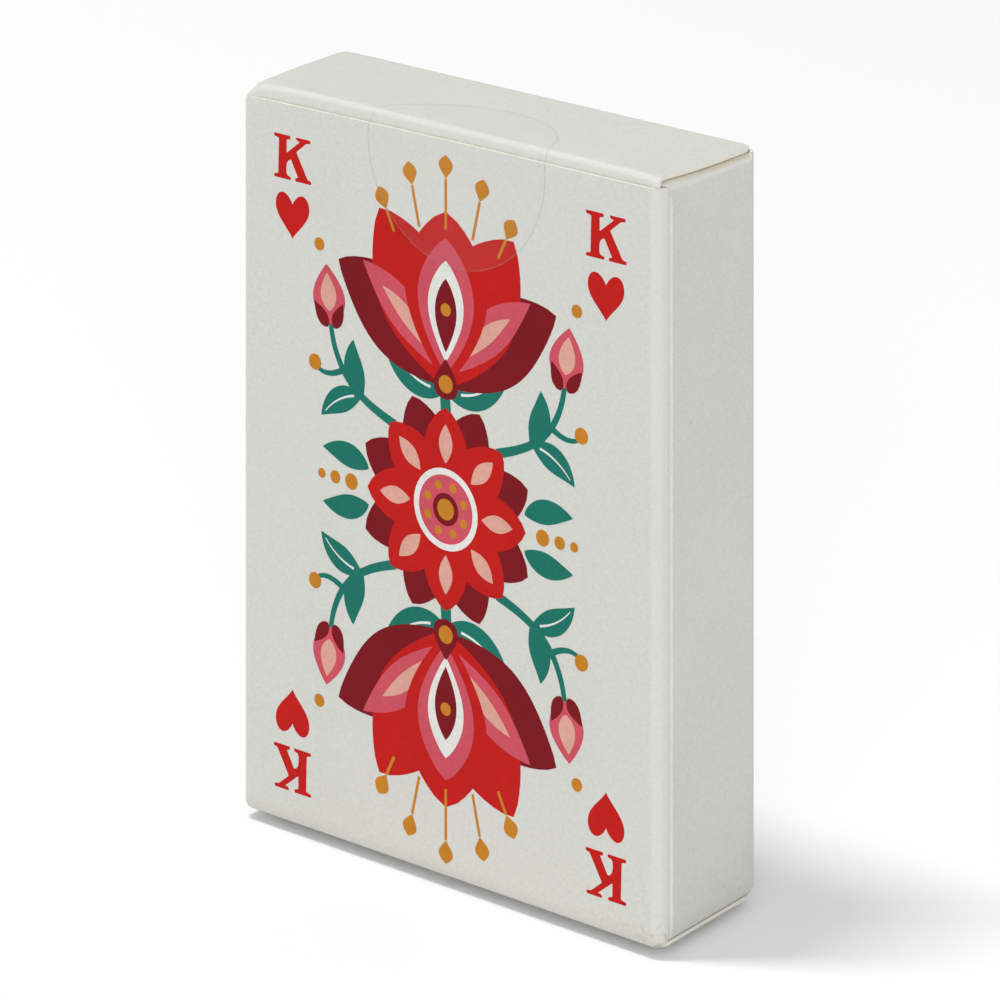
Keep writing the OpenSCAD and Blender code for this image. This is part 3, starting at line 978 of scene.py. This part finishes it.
def put(outline, at=(0, 0), turn=0.0):
    """Turns an outline clockwise by an angle in degrees and moves it."""
    cosine, sine = np.cos(np.radians(turn)), np.sin(np.radians(turn))
    x, y = outline.T
    return spread(x * cosine + y * sine + at[0], y * cosine - x * sine + at[1])


def stroke(controls, start, end):
    """A line of ink along a Bezier curve of four points, from one width to another."""
    t = np.linspace(0, 1, 26)[:, None]
    a, b, c, d = np.asarray(controls, float)
    path = (1 - t) ** 3 * a + 3 * (1 - t) ** 2 * t * b + 3 * (1 - t) * t**2 * c + t**3 * d
    slope = np.gradient(path, axis=0)
    normal = spread(slope[:, 1], -slope[:, 0]) / np.hypot(*slope.T)[:, None]
    side = normal * (start + (end - start) * t) / 2
    return np.r_[path + side, (path - side)[::-1]]


def ease(outline, cut):
    """Rounds an outline's corners: each gives way to two points, a short cut along its sides."""
    before, after = np.roll(outline, 1, 0) - outline, np.roll(outline, -1, 0) - outline
    step = [np.minimum(cut / np.hypot(*v.T), 0.3)[:, None] * v for v in (before, after)]
    return np.stack([outline + step[0], outline + step[1]], 1).reshape(-1, 2)


def ink_prisms(name, shapes, material, face_y, body):
    """Closed prisms on a face that looks along -Y, from pairs of an outline and a lift in mm."""
    points, faces, start = [], [], 0
    for outline, lift in shapes:
        x, z = outline.T
        if np.sum(x * np.roll(z, -1) - np.roll(x, -1) * z) < 0:
            outline = outline[::-1]
        count = len(outline)
        ring, nxt = start + np.arange(count), start + np.roll(np.arange(count), -1)
        for y in (face_y - lift, face_y + lift):
            points.append(spread(outline[:, 0], y, outline[:, 1]))
        faces += [ring.tolist(), (ring[::-1] + count).tolist()]
        faces += np.stack([ring, ring + count, nxt + count, nxt], -1).tolist()
        start += 2 * count
    obj = new_object(name, np.concatenate(points), faces, [material])
    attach(obj, body)
    print(f"{name}: {len(shapes)} shapes, {len(faces)} faces")


print("outlines and prisms ready")

# %% [markdown]
# ## Corner marks
# Each corner carries a letter over a pip, twice upright and twice turned round, as on any playing
# card. The letter is a slab serif of one outline, and its corners are eased, because ink rounds
# them.

# %% Corner marks
LETTER_K = ease(np.array([
    (0, 5.5), (2.66, 5.5), (2.70, 5.12), (2.06, 4.95), (2.06, 3.30), (4.22, 5.02), (3.72, 5.10),
    (3.56, 5.5), (5.92, 5.5), (5.98, 5.10), (5.26, 5.0), (3.64, 3.66), (5.50, 0.52), (6.08, 0.40),
    (6.08, 0.0), (3.46, 0.0), (3.46, 0.38), (3.94, 0.48), (2.78, 2.57), (2.38, 2.42), (2.10, 2.05),
    (2.00, 1.4), (2.03, 0.76), (2.22, 0.48), (2.76, 0.38), (2.76, 0.0), (0, 0), (0, 0.38),
    (0.68, 0.52), (0.80, 4.95), (0, 5.12),
]) - (3.02, 2.75), 0.09)
PIP = heart(5.5, 5.6)
PRINT_AT = (0.30, 45.2)
MARK_X, LETTER_Z, PIP_Z, MARK_LIFT = 24.6, 38.18, 30.95, 0.012
marks = []
for x in (-MARK_X, MARK_X):
    for outline, z in ((LETTER_K, LETTER_Z), (PIP, PIP_Z)):
        marks += [put(outline, (x, z)), -put(outline, (-x, z))]
shapes = [(mark + PRINT_AT, MARK_LIFT) for mark in marks]
ink_prisms("corner_marks", shapes, ink_materials["red"], FRONT, "carton")

# %% [markdown]
# ## The middle of the front
# The middle carries a two-way ornament: a rosette, and above and below it a flower, with sprays of
# leaves and buds beside it. Only the upper half is drawn. Each shape is stored with its colour,
# and its twin, turned by half a circle, is stored beside it, so that the print looks the same
# from both ends.

# %% Flower
layers = []


def lay_ink(colour, outline, both_sides=False):
    """Stores a shape, its mirror image where asked, and the half-turned twins of both."""
    for flip in ((1, -1) if both_sides else (1,)):
        one = outline * (flip, 1)
        layers.extend([(colour, one), (colour, -one)])


def on_ray(distance, turn):
    """The point so far from the origin, clockwise from straight up."""
    return (distance * math.sin(math.radians(turn)), distance * math.cos(math.radians(turn)))


lay_ink("teal", stroke([(0, 9), (0.4, 11), (-0.4, 13), (0, 17)], 1.7, 1.5))
lay_ink("teal", put(bend(teardrop(10.5, 4.0, 0.85), -42), (0.3, 14.2), 88), True)
lay_ink("white", stroke([(2.4, 14.5), (4.6, 14.7), (6.6, 15.8), (8.0, 17.4)], 0.35, 0.15), True)
lay_ink("burgundy", put(bend(teardrop(21, 10.6, 0.95, 0.8), 22), (0, 15.2), 44), True)
lay_ink("red", put(bend(teardrop(22.5, 12.0, 1.05, 0.75), 12), (0, 15.0), 22), True)
lay_ink("pink", put(bend(teardrop(16, 5.0, 1.0, 0.9), 20), (1.5, 17.0), 37), True)
lay_ink("blush", put(bend(teardrop(9.5, 2.0, 1.0, 0.9), 20), (3.0, 19.0), 38), True)
lay_ink("red", put(teardrop(21, 13.0, 1.15, 0.7), (0, 15.4)))
lay_ink("pink", put(teardrop(16.5, 8.8, 1.15, 0.75), (0, 16.6)))
lay_ink("white", put(teardrop(12.4, 5.6, 1.15, 0.8), (0, 18.0)))
lay_ink("burgundy", put(teardrop(9.0, 3.4, 1.15, 0.8), (0, 19.2)))
lay_ink("gold", put(disc(0.8), (0, 24.4)))
for turn, tip in ((0, 25.6), (13, 24.4), (26, 22.2)):
    root, head = np.array([on_ray(18.6, turn), on_ray(tip - 0.8, turn)]) + (0, 15.6)
    line = [root, root * 0.7 + head * 0.3, root * 0.3 + head * 0.7, head]
    lay_ink("gold", stroke(line, 0.4, 0.4), turn > 0)
    lay_ink("gold", put(teardrop(2.9, 2.2, 1.3), head, turn), turn > 0)
lay_ink("burgundy", put(teardrop(5.0, 3.8, 0.6), (0, 13.4)))
lay_ink("gold", put(disc(1.1), (0, 15.3)))
print(f"flower: {len(layers)} shapes")

# %% Sprays
lay_ink("teal", stroke([(8.0, 8.6), (12.0, 10.0), (17.6, 11.6), (18.4, 19.4)], 1.2, 0.7), True)
lay_ink("teal", stroke([(16.6, 13.4), (18.0, 12.6), (19.4, 12.4), (20.4, 13.0)], 0.8, 0.5), True)
lay_ink("teal", put(bend(teardrop(7.4, 3.2, 0.85), -44), (13.2, 10.6), 34), True)
lay_ink("teal", put(bend(teardrop(7.6, 3.2, 0.85), 46), (13.4, 10.8), 96), True)
lay_ink("white", stroke([(14.6, 10.7), (16.4, 10.3), (18.0, 9.3), (19.2, 7.9)], 0.3, 0.12), True)
lay_ink("pink", put(teardrop(7.4, 5.2, 0.8), (18.3, 18.8), 6), True)
lay_ink("blush", put(teardrop(4.7, 2.5, 0.8), (18.5, 20.4), 6), True)
lay_ink("burgundy", put(teardrop(3.6, 1.7, 0.7), (17.8, 18.4), -24), True)
lay_ink("burgundy", put(teardrop(3.6, 1.7, 0.7), (18.8, 18.4), 38), True)
lay_ink("gold", put(disc(1.0), (20.9, 13.6)), True)
lay_ink("gold", put(disc(0.8), (20.2, 28.4)), True)
lay_ink("teal", put(bend(teardrop(7.6, 3.0, 0.85), 30), (12.2, 2.2), 66), True)
for x, radius in ((15.0, 1.0), (17.6, 0.8), (19.8, 0.6)):
    lay_ink("gold", put(disc(radius, 20), (x, 0)))
print(f"flower and sprays: {len(layers)} shapes")

# %% Rosette
for k in range(4):
    lay_ink("burgundy", put(teardrop(13.8, 7.2, 1.2, 0.7), (0, 0), 45 * k + 22.5))
for k in range(4):
    lay_ink("red", put(teardrop(12.4, 6.8, 1.2, 0.7), (0, 0), 45 * k))
for k in range(4):
    lay_ink("blush", put(teardrop(4.8, 2.1, 1.0), on_ray(5.6, 45 * k), 45 * k))
lay_ink("white", disc(5.0, 48))
lay_ink("pink", disc(4.2, 44))
for k in range(4):
    lay_ink("gold", put(disc(0.55, 16), on_ray(3.0, 45 * k + 22.5)))
lay_ink("burgundy", disc(2.0, 32))
lay_ink("gold", disc(1.3, 28))

INK_LIFT, INK_CLIMB = 0.010, 0.020
lifts = INK_LIFT + INK_CLIMB * np.arange(len(layers)) / len(layers)
for colour in INKS:
    pairs = zip(layers, lifts)
    shapes = [(outline + PRINT_AT, lift) for (name, outline), lift in pairs if name == colour]
    ink_prisms(f"ornament_{colour}", shapes, ink_materials[colour], FRONT, "carton")

# %% [markdown]
# ## The cards
# The cards keep the shapes they have in the frame: thin slabs with round corners. Coated card has
# a white, slightly glossy face. Its cut edge, which shows when the lid is open, is a hair darker.
# The edge is told from the faces by the surface normal, and a noise that changes quickly along Y,
# but slowly along X and Z, gives each card its own tone.

# %% Card material
card_stock, tree, shader, where = new_material("card_stock", 0.42)
normal = add_node(tree, "SeparateXYZ")
wire(tree.nodes["Texture Coordinate"].outputs["Normal"], normal.inputs[0])
on_face = remap(tree, maths(tree, "ABSOLUTE", normal.outputs["Y"], 0.0), 0.5, 0.8)
own_tone = remap(tree, noise(tree, where, 1, 0, (60, 2100, 60)), 0.3, 0.7)
edge_tone = blend_colour(tree, own_tone, srgb(214, 211, 200), srgb(238, 236, 228))
face_tone = blend_colour(tree, noise(tree, where, 900, 3), srgb(238, 238, 233), srgb(245, 245, 241))
wire(blend_colour(tree, on_face, edge_tone, face_tone), shader.inputs["Base Color"])
wire(remap(tree, on_face, 0, 1, 0.8, 0.38), shader.inputs["Roughness"])
add_bump(tree, shader, noise(tree, where, 1600, 2), 0.10, 0.00002)
cards = [obj for name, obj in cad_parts.items() if "_of_" in name or name.startswith("joker")]
for card in cards:
    card.material_slots[0].material = card_stock
print(f"cards: {len(cards)} with {card_stock.name}")

# %% Finish
visual_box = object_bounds()
for label, box in (("CAD", cad_box), ("visual", visual_box)):
    print(f"{label} box in mm:", np.round(np.array(box) / MM, 2).tolist())
